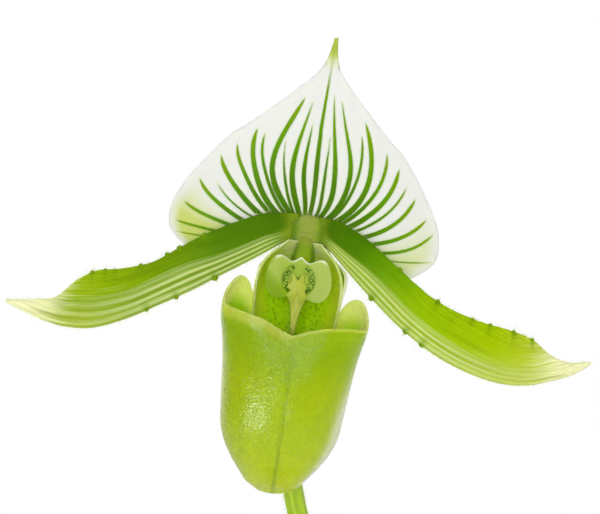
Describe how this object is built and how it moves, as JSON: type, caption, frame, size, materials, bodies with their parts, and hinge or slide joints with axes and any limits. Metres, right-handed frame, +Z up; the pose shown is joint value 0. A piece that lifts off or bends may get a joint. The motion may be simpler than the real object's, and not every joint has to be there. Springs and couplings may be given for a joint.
{
  "type": "potted slipper orchid",
  "caption": "Slipper orchid with one green and white bloom on a leaning scape above mottled leaves, rooted in bark in a tapered clay pot.",
  "frame": {"origin": "middle of the pot's underside", "axes": "+Z up the pot's axis, -Y the way the flower faces, +X to the right of a viewer who faces the flower"},
  "size_m": [0.2757, 0.1676, 0.4208],
  "materials": {
    "clay": "unglazed, matt, with pale lime bloom",
    "bark": "rough bark chips",
    "root": "matt, finely hairy",
    "leaf": "leaf, satin, mottled light and dark green",
    "stem": "stem, satin, finely downy",
    "sepal": "petal tissue, white with green veins",
    "petal": "petal tissue, green with pale stripes",
    "lip": "petal tissue, glossy yellow-green",
    "column": "petal tissue, pale green"
  },
  "bodies": {
    "root": {"pot": "clay", "bark_mix": "bark", "crown_main": "root", "leaf_main_1": "leaf", "leaf_main_2": "leaf", "leaf_main_3": "leaf", "leaf_main_4": "leaf", "leaf_main_5": "leaf", "leaf_main_6": "leaf", "crown_side": "root", "leaf_side_1": "leaf", "leaf_side_2": "leaf", "leaf_side_3": "leaf", "scape": "stem", "floral_bract": "stem", "ovary": "stem", "dorsal_sepal": "sepal", "synsepal": "sepal", "petal_left": "petal", "petal_right": "petal", "lip": "lip", "column": "column"}
  },
  "joints": []
}
